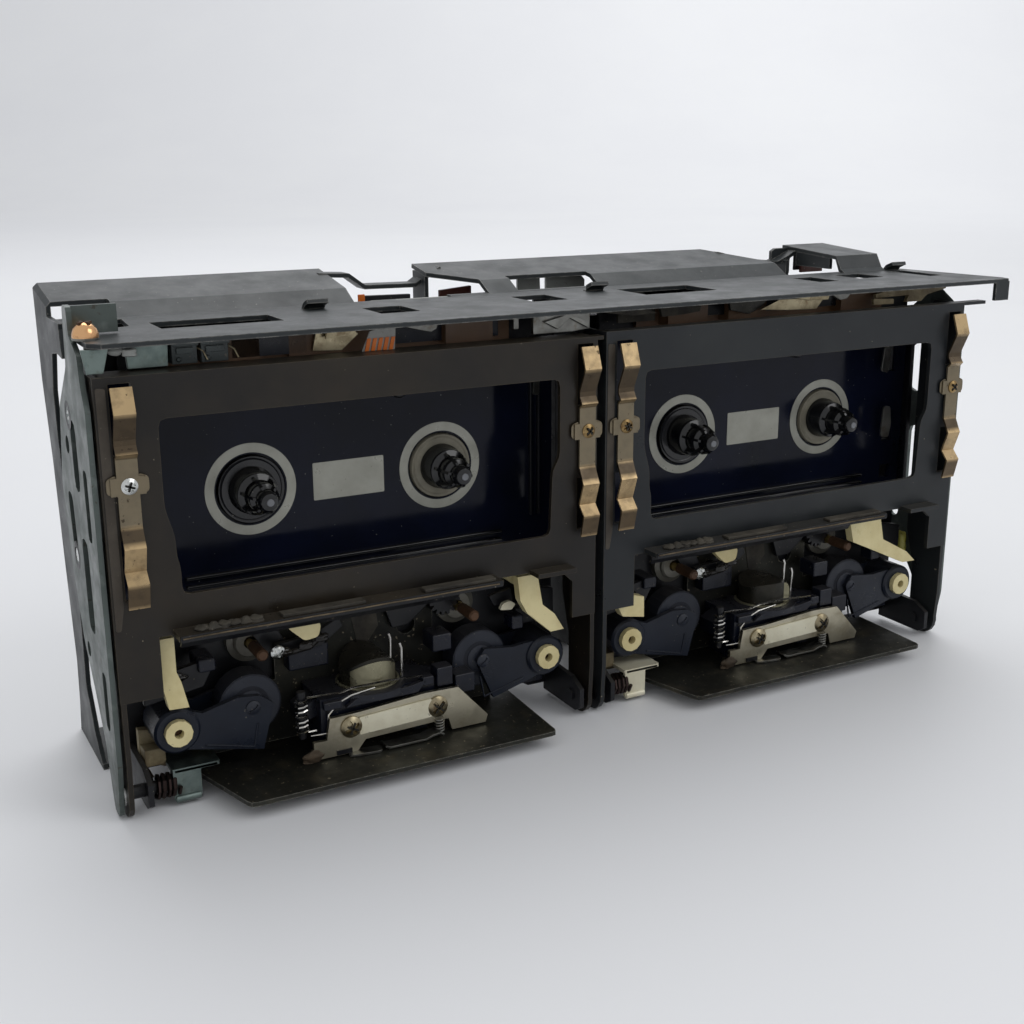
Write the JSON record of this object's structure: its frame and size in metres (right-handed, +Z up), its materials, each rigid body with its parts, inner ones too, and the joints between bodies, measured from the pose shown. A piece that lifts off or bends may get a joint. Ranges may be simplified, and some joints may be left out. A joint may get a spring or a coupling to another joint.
{
  "type": "cassette deck mechanism",
  "caption": "Twin-well auto-reverse cassette tape transport on sheet-metal frames, with doors, reel spindles, pinch rollers, flywheels and turning heads.",
  "frame": {"origin": "under the middle of the bounding box, on the surface the legs and feet stand on", "axes": "+X to the right along the pair of decks, +Y from the doors to the motors, +Z up"},
  "size_m": [0.2306, 0.08, 0.0998],
  "materials": {
    "zinc": "zinc plated, dull",
    "chassis_black": "satin black",
    "panel_gloss": "gloss blue-black",
    "frame_paint": "satin, worn at the edges",
    "gold": "gold plated",
    "spring_steel": "oiled",
    "black_plastic": "gloss",
    "arm_plastic": "satin",
    "rubber": "matte",
    "cream_plastic": "satin",
    "steel_dark": "aged, oily",
    "mount_plastic": "satin",
    "nickel": "nickel plated, satin",
    "bright_wire": "bright",
    "brass": "turned",
    "motor_can": "plated",
    "board": "phenolic",
    "bracket_paint": "black satin paint, worn front edge"
  },
  "bodies": {
    "transport": {"left_chassis": "chassis_black", "left_side_plate": "zinc", "left_face_panel": "panel_gloss", "left_door_spring": "spring_steel", "left_pinch_bush_left": "cream_plastic", "left_pinch_bush_right": "cream_plastic", "left_flywheel_bracket": "zinc", "left_motor": "motor_can", "left_belt": "rubber", "left_switch_board": "board", "right_chassis": "chassis_black", "right_side_plate": "zinc", "right_face_panel": "panel_gloss", "right_door_spring": "spring_steel", "right_pinch_bush_left": "cream_plastic", "right_pinch_bush_right": "cream_plastic", "right_flywheel_bracket": "zinc", "right_motor": "motor_can", "right_belt": "rubber", "right_switch_board": "board", "top_bracket": "bracket_paint"},
    "left_door": {"left_door_frame": "frame_paint", "left_clip_left": "gold", "left_clip_right": "gold"},
    "left_reel_left": {"left_reel_left": "black_plastic"},
    "left_flywheel_left": {"left_flywheel_left": "brass"},
    "left_pinch_arm_left": {"left_pinch_arm_left": "arm_plastic"},
    "left_pinch_roller_left": {"left_pinch_roller_left": "rubber"},
    "left_sensor_left": {"left_sensor_lever_left": "cream_plastic"},
    "left_reel_right": {"left_reel_right": "black_plastic"},
    "left_flywheel_right": {"left_flywheel_right": "brass"},
    "left_pinch_arm_right": {"left_pinch_arm_right": "arm_plastic"},
    "left_pinch_roller_right": {"left_pinch_roller_right": "rubber"},
    "left_sensor_right": {"left_sensor_lever_right": "cream_plastic"},
    "left_motor_pulley": {"left_motor_pulley": "brass"},
    "left_head_slide": {"left_head_plate": "steel_dark", "left_head_mount": "mount_plastic", "left_azimuth_bracket": "nickel", "left_head_spring": "bright_wire"},
    "left_head_turn": {"left_head": "nickel"},
    "right_door": {"right_door_frame": "frame_paint", "right_clip_left": "gold", "right_clip_right": "gold"},
    "right_reel_left": {"right_reel_left": "black_plastic"},
    "right_flywheel_left": {"right_flywheel_left": "brass"},
    "right_pinch_arm_left": {"right_pinch_arm_left": "arm_plastic"},
    "right_pinch_roller_left": {"right_pinch_roller_left": "rubber"},
    "right_sensor_left": {"right_sensor_lever_left": "cream_plastic"},
    "right_reel_right": {"right_reel_right": "black_plastic"},
    "right_flywheel_right": {"right_flywheel_right": "brass"},
    "right_pinch_arm_right": {"right_pinch_arm_right": "arm_plastic"},
    "right_pinch_roller_right": {"right_pinch_roller_right": "rubber"},
    "right_sensor_right": {"right_sensor_lever_right": "cream_plastic"},
    "right_motor_pulley": {"right_motor_pulley": "brass"},
    "right_head_slide": {"right_head_plate": "steel_dark", "right_head_mount": "mount_plastic", "right_azimuth_bracket": "nickel", "right_head_spring": "bright_wire"},
    "right_head_turn": {"right_head": "nickel"}
  },
  "joints": [
    {"name": "left_door_hinge", "type": "hinge", "parent": "transport", "child": "left_door", "pos_m": [-0.06107, -0.025, 0.0045], "axis": [1, 0, 0], "range_deg": [0, 25]},
    {"name": "left_reel_left_spin", "type": "hinge", "parent": "transport", "child": "left_reel_left", "pos_m": [-0.08138, -0.0145, 0.0602], "axis": [0, 1, 0], "continuous": true},
    {"name": "left_flywheel_left_spin", "type": "hinge", "parent": "transport", "child": "left_flywheel_left", "pos_m": [-0.08413, 0.01, 0.028], "axis": [0, 1, 0], "continuous": true},
    {"name": "left_pinch_arm_left_swing", "type": "hinge", "parent": "transport", "child": "left_pinch_arm_left", "pos_m": [-0.10232, -0.02, 0.0152], "axis": [0, -1, 0], "range_deg": [0, 14]},
    {"name": "left_pinch_roller_left_spin", "type": "hinge", "parent": "left_pinch_arm_left", "child": "left_pinch_roller_left", "pos_m": [-0.08653, -0.02, 0.0168], "axis": [0, 1, 0], "continuous": true},
    {"name": "left_sensor_left_tilt", "type": "hinge", "parent": "transport", "child": "left_sensor_left", "pos_m": [-0.10393, -0.02, 0.0342], "axis": [0, -1, 0], "range_deg": [-6, 6]},
    {"name": "left_reel_right_spin", "type": "hinge", "parent": "transport", "child": "left_reel_right", "pos_m": [-0.03887, -0.0145, 0.0602], "axis": [0, 1, 0], "continuous": true},
    {"name": "left_flywheel_right_spin", "type": "hinge", "parent": "transport", "child": "left_flywheel_right", "pos_m": [-0.03612, 0.01, 0.028], "axis": [0, 1, 0], "continuous": true},
    {"name": "left_pinch_arm_right_swing", "type": "hinge", "parent": "transport", "child": "left_pinch_arm_right", "pos_m": [-0.01792, -0.02, 0.0152], "axis": [0, 1, 0], "range_deg": [0, 14]},
    {"name": "left_pinch_roller_right_spin", "type": "hinge", "parent": "left_pinch_arm_right", "child": "left_pinch_roller_right", "pos_m": [-0.03372, -0.02, 0.0168], "axis": [0, 1, 0], "continuous": true},
    {"name": "left_sensor_right_tilt", "type": "hinge", "parent": "transport", "child": "left_sensor_right", "pos_m": [-0.02392, -0.02, 0.0342], "axis": [0, 1, 0], "range_deg": [-6, 6]},
    {"name": "left_motor_spin", "type": "hinge", "parent": "transport", "child": "left_motor_pulley", "pos_m": [-0.06012, 0.01, 0.07], "axis": [0, 1, 0], "continuous": true},
    {"name": "left_head_plate_slide", "type": "slide", "parent": "transport", "child": "left_head_slide", "axis": [0, 0, 1], "range_m": [0, 0.003]},
    {"name": "left_head_turn_over", "type": "hinge", "parent": "left_head_slide", "child": "left_head_turn", "pos_m": [-0.06012, -0.021, 0.015], "axis": [0, 0, 1], "range_deg": [0, 180]},
    {"name": "right_door_hinge", "type": "hinge", "parent": "transport", "child": "right_door", "pos_m": [0.04673, -0.025, 0.0045], "axis": [1, 0, 0], "range_deg": [0, 25]},
    {"name": "right_reel_left_spin", "type": "hinge", "parent": "transport", "child": "right_reel_left", "pos_m": [0.02552, -0.0145, 0.0602], "axis": [0, 1, 0], "continuous": true},
    {"name": "right_flywheel_left_spin", "type": "hinge", "parent": "transport", "child": "right_flywheel_left", "pos_m": [0.02278, 0.01, 0.028], "axis": [0, 1, 0], "continuous": true},
    {"name": "right_pinch_arm_left_swing", "type": "hinge", "parent": "transport", "child": "right_pinch_arm_left", "pos_m": [0.00458, -0.02, 0.0152], "axis": [0, -1, 0], "range_deg": [0, 14]},
    {"name": "right_pinch_roller_left_spin", "type": "hinge", "parent": "right_pinch_arm_left", "child": "right_pinch_roller_left", "pos_m": [0.02038, -0.02, 0.0168], "axis": [0, 1, 0], "continuous": true},
    {"name": "right_sensor_left_tilt", "type": "hinge", "parent": "transport", "child": "right_sensor_left", "pos_m": [-0.00042, -0.02, 0.0342], "axis": [0, -1, 0], "range_deg": [-6, 6]},
    {"name": "right_reel_right_spin", "type": "hinge", "parent": "transport", "child": "right_reel_right", "pos_m": [0.06803, -0.0145, 0.0602], "axis": [0, 1, 0], "continuous": true},
    {"name": "right_flywheel_right_spin", "type": "hinge", "parent": "transport", "child": "right_flywheel_right", "pos_m": [0.07078, 0.01, 0.028], "axis": [0, 1, 0], "continuous": true},
    {"name": "right_pinch_arm_right_swing", "type": "hinge", "parent": "transport", "child": "right_pinch_arm_right", "pos_m": [0.08897, -0.02, 0.0152], "axis": [0, 1, 0], "range_deg": [0, 14]},
    {"name": "right_pinch_roller_right_spin", "type": "hinge", "parent": "right_pinch_arm_right", "child": "right_pinch_roller_right", "pos_m": [0.07318, -0.02, 0.0168], "axis": [0, 1, 0], "continuous": true},
    {"name": "right_sensor_right_tilt", "type": "hinge", "parent": "transport", "child": "right_sensor_right", "pos_m": [0.07558, -0.02, 0.0342], "axis": [0, 1, 0], "range_deg": [-6, 6]},
    {"name": "right_motor_spin", "type": "hinge", "parent": "transport", "child": "right_motor_pulley", "pos_m": [0.04677, 0.01, 0.07], "axis": [0, 1, 0], "continuous": true},
    {"name": "right_head_plate_slide", "type": "slide", "parent": "transport", "child": "right_head_slide", "axis": [0, 0, 1], "range_m": [0, 0.003]},
    {"name": "right_head_turn_over", "type": "hinge", "parent": "right_head_slide", "child": "right_head_turn", "pos_m": [0.04677, -0.021, 0.015], "axis": [0, 0, 1], "range_deg": [0, 180]}
  ],
  "couplings": [
    {"joint": "left_flywheel_left_spin", "follows": "left_flywheel_right_spin", "ratio": -1},
    {"joint": "left_motor_spin", "follows": "left_flywheel_right_spin", "ratio": 3.4138},
    {"joint": "right_flywheel_left_spin", "follows": "right_flywheel_right_spin", "ratio": -1},
    {"joint": "right_motor_spin", "follows": "right_flywheel_right_spin", "ratio": 3.4138}
  ]
}
